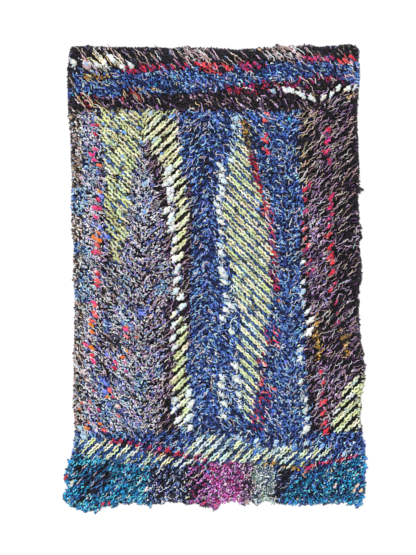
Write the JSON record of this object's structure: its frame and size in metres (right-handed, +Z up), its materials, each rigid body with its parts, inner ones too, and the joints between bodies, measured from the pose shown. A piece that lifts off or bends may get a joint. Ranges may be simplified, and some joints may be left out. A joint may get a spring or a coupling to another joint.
{
  "type": "boucherouite rug",
  "caption": "Rectangular shaggy rug of coloured rag pile in slanting rows, flat underneath, with ragged locks around its rim.",
  "frame": {"origin": "the middle of the rug's bounding box, on the floor that it lies on", "axes": "+X across the rug to its right, +Y along it to the upper end of the picture, +Z up out of the pile"},
  "size_m": [1.2046, 1.8668, 0.0329],
  "materials": {
    "rag_pile": "matte rag pile, mostly blue, with yellow-green, black, red and white rags"
  },
  "bodies": {
    "root": {"rug": "rag_pile"}
  },
  "joints": []
}
